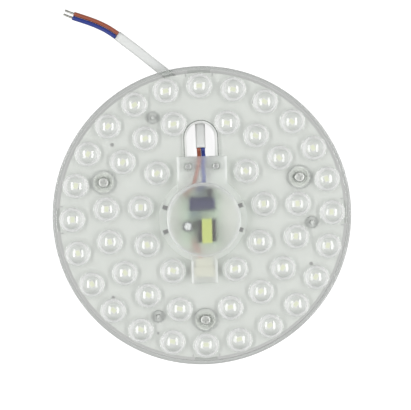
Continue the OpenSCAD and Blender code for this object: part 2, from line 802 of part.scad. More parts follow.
module bulk_capacitor_sleeve()
    color([0.33, 0.33, 0.58])
    on_bulk()
    difference() {
        rod(bulk_d / 2, 0, bulk_l);
        rod(bulk_d / 2 - sleeve_t, sleeve_t, bulk_l - sleeve_t);
        rod(bulk_d / 2 - sleeve_fold, -over, bulk_l + over);
    }

module output_capacitor_can()
    color([0.85, 0.86, 0.87])
    on_driver(output_cap_pos, driver_top)
    difference() {
        disc(output_cap_d / 2 - sleeve_t, 0, output_cap_h - sleeve_t);
        cross_cut(vent_cross, output_cap_h - sleeve_t - vent_cross[2], output_cap_h);
    }

module output_capacitor_sleeve()
    color([0.2, 0.2, 0.26])
    on_driver(output_cap_pos, driver_top)
    difference() {
        disc(output_cap_d / 2, 0, output_cap_h);
        disc(output_cap_d / 2 - sleeve_t, -over, output_cap_h - sleeve_t);
        disc(output_cap_d / 2 - sleeve_fold, -2 * over, output_cap_h + over);
    }

module transformer_base()
    color([0.12, 0.12, 0.12])
    on_driver(transformer_pos, 0)
    block(ferrite_l, -ferrite_w / 2, ferrite_w / 2, driver_top, band_z);

// Two halves shaped like the letter E, face to face.
module transformer_core()
    color([0.16, 0.16, 0.17])
    on_driver(transformer_pos, ferrite_z)
    for (s = [0, 1])
        mirror([s, 0, 0])
        difference() {
            translate([eps, -ferrite_w / 2, 0]) cube([ferrite_l / 2 - eps, ferrite_w, ferrite_h]);
            for (t = [-1, 1])
                translate([-over, t * (leg_t + ferrite_slot) / 2 - ferrite_slot / 2, -over])
                cube([ferrite_l / 2 - back_t + over, ferrite_slot, ferrite_h + 2 * over]);
        }

module transformer_coil()
    color([0.75, 0.55, 0.3])
    on_driver(transformer_pos, 0)
    difference() {
        block(band_w, leg_t - ferrite_w / 2, ferrite_w / 2 - leg_t, coil_z, coil_top);
        block(ferrite_l, -leg_t / 2, leg_t / 2, ferrite_z, ferrite_z + ferrite_h);
    }

module transformer_band()
    color([0.83, 0.9, 0.35])
    on_driver(transformer_pos, 0)
    difference() {
        block(band_w, -ferrite_w / 2 - band_t, ferrite_w / 2 + band_t, band_z, coil_top + band_t);
        block(band_w + 2 * over, -ferrite_w / 2, ferrite_w / 2, coil_z, coil_top);
    }

module filter_choke()
    color([0.14, 0.17, 0.15])
    on_driver(choke_pos, driver_top) {
        disc(choke_d / 2, 0, choke_flange_t);
        disc(choke_d / 2 - choke_waist, 0, choke_h);
        disc(choke_d / 2, choke_h - choke_flange_t, choke_h);
    }

module fusible_resistor()
    color([0.45, 0.55, 0.62])
    on_driver(resistor_pos, driver_top + resistor_d / 2) {
        rod(resistor_d / 2, -resistor_l / 2, resistor_l / 2);
        rod(wire_d / 2, -resistor_l / 2 - wire_reach, resistor_l / 2 + wire_reach);
        for (s = [-1, 1])
            translate([s * (resistor_l / 2 + wire_reach - wire_d / 2), 0, 0])
            disc(wire_d / 2, -resistor_d / 2, 0);
    }

// A chip under the driver board: a body, and legs that rise beside it and turn out flat against the board.
module hanging_chip(size, pos, legs)
    color([0.12, 0.12, 0.12])
    on_driver(pos, driver_z) {
        block(size[0], -size[1] / 2, size[1] / 2, -size[2], -chip_leg_t);
        for (k = [0 : legs[0] - 1]) for (t = [0, 180])
            translate([(k - (legs[0] - 1) / 2) * legs[1], 0, 0])
            rotate([0, 0, t]) {
                block(chip_leg_w, size[1] / 2 - eps, size[1] / 2 + chip_leg_t, -size[2] / 2, 0);
                block(chip_leg_w, size[1] / 2, size[1] / 2 + chip_leg_reach, -chip_leg_t, 0);
            }
    }
module bridge_rectifier() hanging_chip(bridge_size, bridge_pos, bridge_legs);
module controller_chip() hanging_chip(chip_size, chip_pos, chip_legs);

module output_header()
    color([0.9, 0.87, 0.74])
    difference() {
        block(header_w, header_y0, header_y1, board_top, board_top + header_h);
        block(
            plug_w + 2 * plug_play, plug_y0, header_y1 + over,
            plug_z - plug_play, plug_z + plug_h + plug_play
        );
    }

module output_plug()
    color([0.93, 0.9, 0.8])
    block(plug_w, plug_y0, plug_y1, plug_z, plug_z + plug_h);

// Points along a smooth curve through the route's points, n to each stretch.
function curve_point(a, b, c, d, t) =
    0.5 * (2 * b + (c - a) * t + (2 * a - 5 * b + 4 * c - d) * t * t + (3 * b - a - 3 * c + d) * t * t * t);
function curve(p, n) = concat(
    [for (i = [0 : len(p) - 2]) for (k = [0 : n - 1])
        curve_point(
            i == 0 ? 2 * p[0] - p[1] : p[i - 1], p[i], p[i + 1],
            i == len(p) - 2 ? 2 * p[i + 1] - p[i] : p[i + 2], k / n
        )],
    [p[len(p) - 1]]
);
function unit(v) = v / norm(v);
function heading(p, i, first, last) =
    i == 0 ? unit(first) : i == len(p) - 1 ? unit(last) : unit(p[i + 1] - p[i - 1]);
function side_of(t) = unit(cross([0, 0, 1], t));

// Outlines across a cable: a circle set off sideways, and a flat strip with round edges.
function round_outline(d, off) = [for (k = [0 : 7])
    [off + d / 2 * cos(45 * k + 22.5), d / 2 * sin(45 * k + 22.5)]];
function flat_outline(w, t) = [for (s = [0, 1]) for (k = [0 : 5])
    let (a = 180 * s - 75 + 30 * k) [(s == 0 ? 1 : -1) * (w - t) / 2 + t / 2 * cos(a), t / 2 * sin(a)]];

// One tube: an outline carried along a curve, with a flat cap square to a stated heading at each end.
module tube(p, outline, first, last) {
    n = len(outline);
    m = len(p);
    points = [for (i = [0 : m - 1])
        let (t = heading(p, i, first, last), s = side_of(t), u = cross(t, s))
        for (q = outline) p[i] + q[0] * s + q[1] * u];
    walls = [for (i = [0 : m - 2]) for (k = [0 : n - 1])
        let (a = i * n + k, b = i * n + (k + 1) % n)
        for (f = [[a, a + n, b + n], [a, b + n, b]]) f];
    caps = [[for (k = [0 : n - 1]) k], [for (k = [n - 1 : -1 : 0]) (m - 1) * n + k]];
    polyhedron(points, concat(walls, caps));
}

module cable_sheath()
    color([0.9, 0.91, 0.9])
    tube(curve(sheath_route, 2), flat_outline(sheath_w, sheath_t), slot_heading, joint_heading);

module cable_core(side)
    tube(curve(core_route, 2), round_outline(core_d, side * core_half_gap), joint_heading, tip_heading);
module brown_core() color([0.55, 0.3, 0.22]) cable_core(-1);
module blue_core() color([0.2, 0.27, 0.6]) cable_core(1);

module tinned_tip(side)
    color([0.75, 0.75, 0.74])
    tube(curve(tip_route, 1), round_outline(tip_d, side * core_half_gap), tip_heading, tip_heading);
module brown_tip() tinned_tip(-1);
module blue_tip() tinned_tip(1);

module brown_lead()
    color([0.55, 0.3, 0.22])
    tube(curve(brown_route, 3), round_outline(core_d, 0), -slot_heading, [-0.6, -2, 0]);
module blue_lead()
    color([0.2, 0.27, 0.6])
    tube(curve(blue_route, 3), round_outline(core_d, 0), -slot_heading, [-1.2, -2, 0]);
module output_lead_red()
    color([0.75, 0.2, 0.2])
    tube(curve(red_route, 3), round_outline(lead_d, 0), [0, 1, 0], [-0.2, 1.8, 0]);
module output_lead_white()
    color([0.92, 0.92, 0.9])
    tube(curve(white_route, 3), round_outline(lead_d, 0), [0, 1, 0], [-1.6, 1, 0]);

lens_cover();
led_board();
led_packages(outer_ring_r, outer_angles);  // led_packages_outer
led_packages(middle_ring_r, middle_angles);  // led_packages_middle
led_packages(inner_ring_r, inner_angles);  // led_packages_inner
led_phosphors(outer_ring_r, outer_angles);  // led_phosphors_outer
led_phosphors(middle_ring_r, middle_angles);  // led_phosphors_middle
led_phosphors(inner_ring_r, inner_angles);  // led_phosphors_inner
driver_cover();
cover_screws();
magnet_cup(foot_angles[0]);  // magnet_cup_right
magnet_cup(foot_angles[1]);  // magnet_cup_lower
magnet_cup(foot_angles[2]);  // magnet_cup_left
magnet_ring(foot_angles[0]);  // magnet_ring_right
magnet_ring(foot_angles[1]);  // magnet_ring_lower
magnet_ring(foot_angles[2]);  // magnet_ring_left
magnet_spacer(foot_angles[0]);  // magnet_spacer_right
magnet_spacer(foot_angles[1]);  // magnet_spacer_lower
magnet_spacer(foot_angles[2]);  // magnet_spacer_left
magnet_screws();
board_screws();
driver_tray();
driver_board();
bulk_capacitor_can();
bulk_capacitor_sleeve();
output_capacitor_can();
output_capacitor_sleeve();
transformer_base();
transformer_core();
transformer_coil();
transformer_band();
filter_choke();
fusible_resistor();
bridge_rectifier();
controller_chip();
output_header();
output_plug();
output_lead_red();
output_lead_white();
brown_lead();
blue_lead();
cable_sheath();
brown_core();
blue_core();
brown_tip();
blue_tip();
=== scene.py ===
# %% [markdown]
# # A round LED module
#
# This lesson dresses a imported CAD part: a round LED module for a ceiling light. A clear cover with dome lenses
# lies over a white board, a frosted cover hides the driver in the middle, and a flat cable ends in bare cores.
# The CAD part gives every place and size, so the script only adds surfaces, finishes, light and a camera.

import bmesh
import bpy
import numpy as np
from mathutils import Matrix, Vector


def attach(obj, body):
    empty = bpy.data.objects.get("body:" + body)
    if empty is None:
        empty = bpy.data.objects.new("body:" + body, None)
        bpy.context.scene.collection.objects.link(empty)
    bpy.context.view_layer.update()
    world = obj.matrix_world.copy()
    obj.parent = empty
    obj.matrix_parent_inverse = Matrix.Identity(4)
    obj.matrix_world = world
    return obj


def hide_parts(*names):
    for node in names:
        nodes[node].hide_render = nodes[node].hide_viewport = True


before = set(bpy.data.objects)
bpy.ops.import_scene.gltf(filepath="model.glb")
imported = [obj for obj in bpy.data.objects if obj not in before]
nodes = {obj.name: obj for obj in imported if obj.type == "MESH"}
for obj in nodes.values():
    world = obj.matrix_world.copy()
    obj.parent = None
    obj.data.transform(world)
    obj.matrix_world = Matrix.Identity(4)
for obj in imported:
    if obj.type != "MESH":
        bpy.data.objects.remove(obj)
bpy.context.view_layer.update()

# %% [markdown]
# ## Camera
#
# The photograph looks almost straight down. Its scale is 0.618 mm for a pixel, the module is turned a little, and
# high points lean to the lower right, so the camera stands slightly to the upper left. A camera can be aimed with
# a constraint, but a matrix built from three directions keeps every number in view.

# %% Place the camera
MM = 0.001
PHOTO = (411, 410)
PIXEL = 0.618 * MM
DISC_CENTRE = (202.9, 216.1)
AIM_HEIGHT = 12 * MM
DISTANCE = 0.9
LEAN = 0.056
SENSOR = 36
turn = np.radians(1.7)
photo_right = np.array([np.cos(turn), -np.sin(turn), 0.0])
photo_up = np.array([np.sin(turn), np.cos(turn), 0.0])

aim = photo_right * (PHOTO[0] / 2 - DISC_CENTRE[0]) * PIXEL + photo_up * (DISC_CENTRE[1] - PHOTO[1] / 2) * PIXEL
aim[2] = AIM_HEIGHT
back = (photo_up - photo_right) * LEAN + np.array([0.0, 0.0, 1.0])
back /= np.linalg.norm(back)
right = photo_right - back * (photo_right @ back)
right /= np.linalg.norm(right)

camera = bpy.data.objects.new("camera", bpy.data.cameras.new("camera"))
bpy.context.scene.collection.objects.link(camera)
camera.data.sensor_width = SENSOR
camera.data.lens = SENSOR * DISTANCE / (PHOTO[0] * PIXEL)
stand = np.eye(4)
stand[:3, 0], stand[:3, 1], stand[:3, 2] = right, np.cross(back, right), back
stand[:3, 3] = aim + back * DISTANCE
camera.matrix_world = Matrix(stand.tolist())
bpy.context.scene.camera = camera
print(f"camera at {np.round(stand[:3, 3], 3)} with a lens of {camera.data.lens:.1f} mm")

# %% [markdown]
# ## Surfaces from arrays
#
# A cable is an outline carried along a path. Blender's curves could do it with a bevel, but arrays show the formula:
# each path point has a heading, a direction to its left and one upwards, and the outline is drawn in those two.

# %% Carry an outline along a path
def smooth_path(points, steps):
    """A Catmull-Rom curve: each stretch is a cubic that leaves a point along the line through its two neighbours.
    It is held at the height of the lowest point, so that it doesn't swing under the table."""
    p = np.asarray(points, float) * MM
    p = np.vstack([2 * p[0] - p[1], p, 2 * p[-1] - p[-2]])
    t = np.arange(steps)[:, None] / steps
    a, b, c, d = (q[:, None, :] for q in (p[:-3], p[1:-2], p[2:-1], p[3:]))
    cubic = 0.5 * (2 * b + (c - a) * t + (2 * a - 5 * b + 4 * c - d) * t**2 + (3 * b - a - 3 * c + d) * t**3)
    curve = np.vstack([cubic.reshape(-1, 3), p[-2]])
    return np.maximum(curve, [-np.inf, -np.inf, p[1:-1, 2].min()])


def sweep(path, outline, first=None, last=None):
    """Point (i, j) is path point i, plus outline x times its left direction, plus outline y times its upward one."""
    heading = np.gradient(path, axis=0)
    if first is not None:
        heading[0] = first
    if last is not None:
        heading[-1] = last
    heading /= np.linalg.norm(heading, axis=1, keepdims=True)
    left = np.cross([0.0, 0.0, 1.0], heading)
    left /= np.linalg.norm(left, axis=1, keepdims=True)
    upward = np.cross(heading, left)
    outline = np.broadcast_to(outline, (len(path),) + np.shape(outline)[-2:])
    return path[:, None] + outline[..., :1] * left[:, None] + outline[..., 1:] * upward[:, None]


def tube_object(name, grid):
    """A closed tube: quads join neighbouring rings of the grid, and one face closes each end."""
    rings, around = grid.shape[:2]
    index = np.arange(rings * around).reshape(rings, around)
    after = np.roll(index, -1, axis=1)
    walls = np.stack([index[:-1], after[:-1], after[1:], index[1:]], axis=-1).reshape(-1, 4)
    mesh = bpy.data.meshes.new(name)
    mesh.from_pydata(grid.reshape(-1, 3), [], walls.tolist() + [index[0, ::-1].tolist(), index[-1].tolist()])
    mesh.polygons.foreach_set("use_smooth", [True] * len(walls) + [False] * 2)
    piece = bpy.data.objects.new(name, mesh)
    bpy.context.scene.collection.objects.link(piece)
    return piece


def circle(diameter, count, sideways=0.0):
    """A circle of points, set off sideways from the path."""
    a = 2 * np.pi * np.arange(count) / count
    return np.stack([sideways + diameter / 2 * np.cos(a), diameter / 2 * np.sin(a)], -1) * MM


trial = sweep(smooth_path([[0, 0, 0], [0, 9, 0]], 4), circle(2, 12))
print(f"a straight trial tube has {trial.shape[0]} rings of {trial.shape[1]} points")

# %% [markdown]
# ## Cable
#
# The flat mains cable comes up through the slot, drops to the table and runs out under the module's edge. Its sheath
# ends after a hand's width, and two cores with tinned tips go on. A rope simulation could lay it down, but the CAD
# part already lies as the photograph shows, so its route is repeated here, point by point. Only the two cores are
# drawn 0.08 mm nearer to the middle than the solids, so that no gap shows between them. The seven strands of each
# tip are a wavy outline that turns as it goes.

# %% Make the cable
SHEATH_WIDTH, SHEATH_THICKNESS = 6.0, 3.6
CORE_DIAMETER, CORE_SIDE = 2.6, 1.32
TIP_DIAMETER, STRANDS, STRAND_DEPTH, TIP_TWIST = 1.4, 7, 0.1, 2.4
ROUND_END_POINTS, CORE_POINTS, TIP_POINTS = 17, 24, 56
SHEATH_STEPS, CORE_STEPS, TIP_STEPS = 4, 8, 24
sheath_route = [
    [0, 42, 9.3], [0, 49, 7.3], [0, 57, 4.6], [-1.5, 64, 2.6], [-5, 72, 1.8], [-10.5, 80, 1.8], [-18, 87, 1.8],
    [-27, 94.5, 1.8], [-38, 103.7, 1.8], [-49.5, 112.8, 1.8]]
core_route = [[-49.5, 112.8, 1.8], [-56, 117.2, 1.6], [-63, 120.7, 1.4], [-70, 123.4, 1.3], [-76.3, 125.6, 1.3]]
tip_route = [[-76.3, 125.6, 1.3], [-79, 126.7, 1.3], [-81.8, 127.9, 1.3]]
slot_heading, joint_heading, tip_heading = [0, 3.5, -1], [-7, 5, -0.2], [-7, 2.9, 0]

a = np.linspace(-np.pi / 2, np.pi / 2, ROUND_END_POINTS)
round_end = SHEATH_THICKNESS / 2 * np.stack([np.cos(a), np.sin(a)], -1)
half = round_end + [(SHEATH_WIDTH - SHEATH_THICKNESS) / 2, 0]
flat_outline = np.vstack([half, -half]) * MM
sheath_path = smooth_path(sheath_route, SHEATH_STEPS)
sheath = tube_object("sheath_skin", sweep(sheath_path, flat_outline, slot_heading, joint_heading))

cores, tips = {}, {}
core_path, tip_path = smooth_path(core_route, CORE_STEPS), smooth_path(tip_route, TIP_STEPS)
for colour, side in (("brown", -CORE_SIDE), ("blue", CORE_SIDE)):
    cores[colour] = tube_object(
        f"{colour}_core_skin",
        sweep(core_path, circle(CORE_DIAMETER, CORE_POINTS, side), joint_heading, tip_heading))
    twist = np.linspace(0, TIP_TWIST, len(tip_path))[:, None]
    a = 2 * np.pi * np.arange(TIP_POINTS) / TIP_POINTS
    strand = TIP_DIAMETER / 2 * (1 - STRAND_DEPTH + STRAND_DEPTH * np.cos(STRANDS * (a + twist)))
    lobes = np.stack([side + strand * np.cos(a), strand * np.sin(a)], -1) * MM
    tips[colour] = tube_object(f"{colour}_tip_strands", sweep(tip_path, lobes, tip_heading, tip_heading))

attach(sheath, "root")
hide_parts("cable_sheath")
for colour in ("brown", "blue"):
    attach(cores[colour], "root")
    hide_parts(f"{colour}_core")
    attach(tips[colour], "root")
    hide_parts(f"{colour}_tip")

# %% [markdown]
# ## Leads inside the driver cover
#
# Behind the sheath's end the two cores go on under the frosted neck to the driver board, and two thin leads run from
# the driver to the cream connector. The CAD solids are eight-sided tubes, which could be kept, but round ones
# catch the light as soft PVC does. They follow the same routes, leave the sheath as close together as the cores
# at its far end, and their size lies between the flats and the corners of those solids.

# %% Make the leads
LEAD_DIAMETER, LEAD_SHARE, LEAD_POINTS, LEAD_STEPS = 1.6, 0.98, 20, 6
lead_routes = {
    "brown_lead": (CORE_DIAMETER, "core_brown", [
        [-1.32, 42, 9.3], [-1.32, 39.2, 10.1], [-1.4, 36.5, 13.4], [-2.4, 30, 14.4], [-4.4, 23, 15],
        [-6, 18.8, 15.8], [-8.4, 16.6, 15.6], [-10.4, 14.6, 15.3], [-11, 12.6, 14.8]]),
    "blue_lead": (CORE_DIAMETER, "core_blue", [
        [1.32, 42, 9.3], [1.32, 39.2, 10.1], [1.26, 36.5, 13.4], [0.7, 30, 14.4], [1.1, 23.4, 15],
        [0.2, 19.6, 15.4], [-1.6, 17, 15.3], [-2.8, 15, 14.8]]),
    "output_lead_red": (LEAD_DIAMETER, "lead_red", [
        [-1.25, -29.2, 12.4], [-1.4, -28, 12.4], [-3.4, -21, 15], [-5, -18.4, 16], [-6, -16, 14.74],
        [-6.2, -14.2, 14.34]]),
    "output_lead_white": (LEAD_DIAMETER, "lead_white", [
        [1.25, -29.2, 12.4], [1.25, -28, 12.4], [0.6, -21.4, 14.8], [-0.8, -19.4, 15.2], [-2.6, -18, 14.74],
        [-4.2, -17, 14.34]]),
}
leads = {}
for node, (diameter, slot, route) in lead_routes.items():
    outline = circle(LEAD_SHARE * diameter, LEAD_POINTS)
    leads[node] = tube_object(f"{node}_skin", sweep(smooth_path(route, LEAD_STEPS), outline))
    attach(leads[node], "root")
    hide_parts(node)
print(f"{len(leads)} leads")

# %% [markdown]
# ## Smooth covers
#
# The clear cover is one moulding with 48 dome lenses, and the frosted cover is another. Their CAD meshes are loose
# flat triangles, and in a lens each flat triangle would show. A copy whose triangles are joined can be shaded smooth,
# with sharp edges kept where faces meet at more than 30 degrees. The copy is a hair smaller than the solid, so that
# light finds a thin layer of air wherever two pieces touch, as it does on the real module. Moving points along their
# averaged normals would bend flat faces near their corners, so each corner's move is worked out from the faces
# around it.

# %% Take smooth copies
JOIN_DISTANCE, SHRINK, SHARP_ANGLE, LEAST_LEAN = 0.001 * MM, 0.03 * MM, np.radians(30), 0.02
NEAR_ZERO = 1e-18


def inward_step(points, triangles, step):
    """Each corner's move whose part along the normal of every face around it is the same step inwards, found as a
    least squares fit. Faces weigh by their angle at the corner, and directions in which they hardly lean are left
    out."""
    corners = points[triangles]
    ahead, behind = np.roll(corners, -1, 1) - corners, np.roll(corners, 1, 1) - corners
    lengths = np.linalg.norm(ahead, axis=2) * np.linalg.norm(behind, axis=2)
    angles = np.arccos(np.clip((ahead * behind).sum(2) / np.maximum(lengths, NEAR_ZERO), -1, 1))
    across = np.cross(corners[:, 1] - corners[:, 0], corners[:, 2] - corners[:, 0])
    normals = across / np.maximum(np.linalg.norm(across, axis=1, keepdims=True), NEAR_ZERO)
    pull, lean = np.zeros((len(points), 3)), np.zeros((len(points), 3, 3))
    np.add.at(pull, triangles, -step * angles[..., None] * normals[:, None])
    np.add.at(lean, triangles, angles[..., None, None] * (normals[:, :, None] * normals[:, None, :])[:, None])
    sizes, axes = np.linalg.eigh(lean)
    along = np.einsum("nij,ni->nj", axes, pull)
    along = np.where(sizes > LEAST_LEAN * sizes[:, -1:], along / np.maximum(sizes, NEAR_ZERO), 0)
    return np.einsum("nij,nj->ni", axes, along)


def smooth_copy(node):
    """The node's triangles joined where corners meet, with every face moved inwards by the same small step."""
    joined = nodes[node].data.copy()
    work = bmesh.new()
    work.from_mesh(joined)
    bmesh.ops.remove_doubles(work, verts=work.verts, dist=JOIN_DISTANCE)
    work.to_mesh(joined)
    work.free()
    points, triangles = np.empty(len(joined.vertices) * 3), np.empty(len(joined.loops), int)
    joined.vertices.foreach_get("co", points)
    joined.loops.foreach_get("vertex_index", triangles)
    points, triangles = points.reshape(-1, 3), triangles.reshape(-1, 3)
    mesh = bpy.data.meshes.new(f"{node}_skin")
    mesh.from_pydata(points + inward_step(points, triangles, SHRINK), [], triangles.tolist())
    mesh.polygons.foreach_set("use_smooth", [True] * len(mesh.polygons))
    mesh.set_sharp_from_angle(angle=SHARP_ANGLE)
    piece = bpy.data.objects.new(f"{node}_skin", mesh)
    bpy.context.scene.collection.objects.link(piece)
    even = piece.modifiers.new("even_normals", "WEIGHTED_NORMAL")
    even.keep_sharp = True
    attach(piece, "root")
    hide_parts(node)
    return piece


lens_skin = smooth_copy("lens_cover")
driver_skin = smooth_copy("driver_cover")
print(f"lens cover of {len(lens_skin.data.polygons)} faces, driver cover of {len(driver_skin.data.polygons)}")

# %% [markdown]
# ## Finishes
#
# Every finish starts from what the real one is. One function adds a node, one turns a hex colour to the linear values
# that Blender works with, and one builds the finish that most moulded pieces share. That one could be a node group,
# but plain code shows each value where it is used.

# %% Helpers for the finishes
def linear(colour):
    """sRGB hex to linear: below 0.04045 a straight line, above it a power of 2.4."""
    c = np.array([int(colour[i:i + 2], 16) for i in (1, 3, 5)]) / 255
    return (*np.where(c <= 0.04045, c / 12.92, ((c + 0.055) / 1.055) ** 2.4), 1.0)


def add(tree, kind, values=None, links=None, **settings):
    """One node, with its settings, the values of its free sockets and the links into the others."""
    node = tree.nodes.new(kind)
    for name, value in settings.items():
        setattr(node, name, value)
    for socket, value in (values or {}).items():
        node.inputs[socket].default_value = value
    for socket, source in (links or {}).items():
        tree.links.new(source, node.inputs[socket])
    return node


def start(name):
    """A new material with an empty node tree."""
    material = bpy.data.materials.new(name)
    material.use_nodes = True
    material.node_tree.nodes.clear()
    return material, material.node_tree


def drifting(name, light, dark, grain_mm, rough, relief_mm=0.01, **surface):
    """Two close tones and a range of roughness that drift with a noise of the stated grain, over a faint relief."""
    material, tree = start(name)
    place = add(tree, "ShaderNodeTexCoord").outputs["Object"]
    noise = add(
        tree, "ShaderNodeTexNoise", {"Scale": 1 / (grain_mm * MM), "Detail": 4, "Roughness": 0.6},
        {"Vector": place}).outputs["Fac"]
    tone = add(
        tree, "ShaderNodeMix", {6: linear(light), 7: linear(dark)}, {0: noise}, data_type="RGBA").outputs[2]
    gloss = add(
        tree, "ShaderNodeMapRange", {"To Min": rough[0], "To Max": rough[1]}, {"Value": noise}).outputs["Result"]
    relief = add(
        tree, "ShaderNodeBump", {"Strength": 0.5, "Distance": relief_mm * MM}, {"Height": noise}).outputs["Normal"]
    skin = add(
        tree, "ShaderNodeBsdfPrincipled", surface,
        {"Base Color": tone, "Roughness": gloss, "Normal": relief})
    add(tree, "ShaderNodeOutputMaterial", links={"Surface": skin.outputs["BSDF"]})
    return material


def wear(material, *names):
    """The material on each named CAD node or new piece."""
    for name in names:
        piece = nodes[name] if isinstance(name, str) else name
        piece.data.materials.clear()
        piece.data.materials.append(material)


print(f"a mid grey of #808080 is {linear('#808080')[0]:.3f} in linear light")

# %% [markdown]
# ## What both covers share
#
# Both covers are polycarbonate. Seen from the camera they bend and mirror light. For light on its way from a lamp to
# the board they only dim it, because Blender can't find a lamp through a bent ray in a short render. Two mixes by the
# kind of ray do that. A real dome bends light away from the board under its flanks, so the light that passes is
# dimmed most where the skin is steep or where the ray meets it at a slant.

# %% What both covers share
SLANT_RANGE, DIM_SLOPES = (0.28, 0.68), (28, 66)


def steepness(tree, least, most):
    """From 0 on a face that leans the least angle to 1 on one that leans the most, by its normal's upward part."""
    normal = add(tree, "ShaderNodeNewGeometry").outputs["Normal"]
    upward = add(tree, "ShaderNodeSeparateXYZ", links={0: normal}).outputs["Z"]
    size = add(tree, "ShaderNodeMath", links={0: upward}, operation="ABSOLUTE").outputs[0]
    flat, upright = np.cos(np.radians([least, most]))
    return add(
        tree, "ShaderNodeMapRange", {"From Min": flat, "From Max": upright}, {"Value": size},
        interpolation_type="SMOOTHSTEP").outputs["Result"]


def let_light_in(tree, skin, straight_shade, slant_shade):
    """Shadow and diffuse rays pass straight on, dimmed where the skin is steep or they meet it at a slant, and all
    other rays meet the skin itself."""
    facing = add(tree, "ShaderNodeLayerWeight", {"Blend": 0.5}).outputs["Facing"]
    slant = add(
        tree, "ShaderNodeMapRange", {"From Min": SLANT_RANGE[0], "From Max": SLANT_RANGE[1]},
        {"Value": facing}).outputs["Result"]
    dull = add(
        tree, "ShaderNodeMath", links={0: slant, 1: steepness(tree, *DIM_SLOPES)}, operation="MAXIMUM").outputs[0]
    shade = add(
        tree, "ShaderNodeMix", {6: linear(straight_shade), 7: linear(slant_shade)}, {0: dull},
        data_type="RGBA").outputs[2]
    passing = add(tree, "ShaderNodeBsdfTransparent", links={"Color": shade}).outputs["BSDF"]
    ray = add(tree, "ShaderNodeLightPath").outputs
    soft = add(
        tree, "ShaderNodeMixShader", links={0: ray["Is Diffuse Ray"], 1: skin, 2: passing}).outputs["Shader"]
    both = add(tree, "ShaderNodeMixShader", links={0: ray["Is Shadow Ray"], 1: soft, 2: passing}).outputs["Shader"]
    add(tree, "ShaderNodeOutputMaterial", links={"Surface": both})


print(f"covers dim the light that passes them from a slope of {DIM_SLOPES[0]} degrees to one of {DIM_SLOPES[1]}")

# %% [markdown]
# ## Clear cover
#
# The clear cover is polycarbonate from a polished mould, and each dome spreads the light of the LED under it. A glass
# shader alone would do for a thin plate. In the thick flanks of the domes, though, light goes round many times before
# it comes out, which gives the real ones a milky ring that a short render can't trace. So half of the transmission
# there gives way to a plain white. Upright walls are looked through along their whole height, down to shaded card, and
# a grey tint on them and on the skirt is painted shade for it. A thin grey line along the slot's edge is painted shade
# too. A tint on its upright faces would be too narrow to show from above, so the distance from the slot draws the
# line.
# The plate's tint is a hair darker than the domes' white, painted shade that lets the domes read brighter.

# %% Clear cover
# Polycarbonate, moulded and polished: a plate so clear that only its edges show, dome tops that magnify the LED,
# milky flanks, and painted shade: grey on upright walls and on the skirt, a grey line along the slot's edge, and a
# plate tinted a hair darker than the domes.
CLEAR_IOR, CLEAR_ROUGHNESS, CLEAR_DRIFT = 1.585, (0.0, 0.04), 14 * MM
PLATE_TOP, DOME_FOOT, SKIRT_TOP, SKIRT_FULL = 12.7 * MM, 12.9 * MM, 8 * MM, 7.8 * MM
WALL_SHADE_SLOPES, FLANK_SLOPES, FLANK_TRANSMISSION = (60, 80), (32, 50), 0.5
SLOT_CENTRE, SLOT_HALF, SLOT_LENGTH = 48.6 * MM, 10.15 * MM, 12 * MM
SHADE_LINE_OUTSIDE, SHADE_LINE_FULL = SLOT_HALF + 0.75 * MM, SLOT_HALF + 0.55 * MM
clear, tree = start("polycarbonate_clear_moulded")
place = add(tree, "ShaderNodeTexCoord").outputs["Object"]
height = add(tree, "ShaderNodeSeparateXYZ", links={0: place}).outputs["Z"]
wall_shade = steepness(tree, *WALL_SHADE_SLOPES)
noise = add(tree, "ShaderNodeTexNoise", {"Scale": 1 / CLEAR_DRIFT, "Detail": 3}, {"Vector": place}).outputs["Fac"]
gloss = add(
    tree, "ShaderNodeMapRange", {"To Min": CLEAR_ROUGHNESS[0], "To Max": CLEAR_ROUGHNESS[1]},
    {"Value": noise}).outputs["Result"]
above = add(
    tree, "ShaderNodeMapRange", {"From Min": PLATE_TOP, "From Max": DOME_FOOT}, {"Value": height}).outputs["Result"]
below = add(
    tree, "ShaderNodeMapRange", {"From Min": SKIRT_TOP, "From Max": SKIRT_FULL}, {"Value": height}).outputs["Result"]
# Painted shade: the plate is tinted a hair darker than the domes' white, so that the domes read brighter.
tint = add(
    tree, "ShaderNodeMix", {6: linear("#FBFCFA"), 7: linear("#FFFFFF")}, {0: above}, data_type="RGBA").outputs[2]
# Painted shade: upright walls are tinted grey for the shaded card seen down through them.
tint = add(tree, "ShaderNodeMix", {7: linear("#E6EAE7")}, {0: wall_shade, 6: tint}, data_type="RGBA").outputs[2]
# Painted shade: the skirt is tinted grey for the shaded card seen down through it.
tint = add(tree, "ShaderNodeMix", {7: linear("#E2E6E3")}, {0: below, 6: tint}, data_type="RGBA").outputs[2]
# The distance from the slot: from the arch's centre where a point lies beyond it, and else from the middle line.
offset = add(
    tree, "ShaderNodeVectorMath", {1: (0, SLOT_CENTRE, 0)}, {0: place}, operation="SUBTRACT").outputs["Vector"]
part = add(tree, "ShaderNodeSeparateXYZ", links={0: offset}).outputs
ahead = add(tree, "ShaderNodeMath", {1: 0}, {0: part["Y"]}, operation="MAXIMUM").outputs[0]
bow = add(tree, "ShaderNodeCombineXYZ", links={0: part["X"], 1: ahead}).outputs[0]
away = add(tree, "ShaderNodeVectorMath", links={0: bow}, operation="LENGTH").outputs["Value"]
line = add(
    tree, "ShaderNodeMapRange", {"From Min": SHADE_LINE_OUTSIDE, "From Max": SHADE_LINE_FULL}, {"Value": away}).outputs["Result"]
front = add(tree, "ShaderNodeMath", {1: -SLOT_LENGTH}, {0: part["Y"]}, operation="GREATER_THAN").outputs[0]
line = add(tree, "ShaderNodeMath", links={0: line, 1: front}, operation="MULTIPLY").outputs[0]
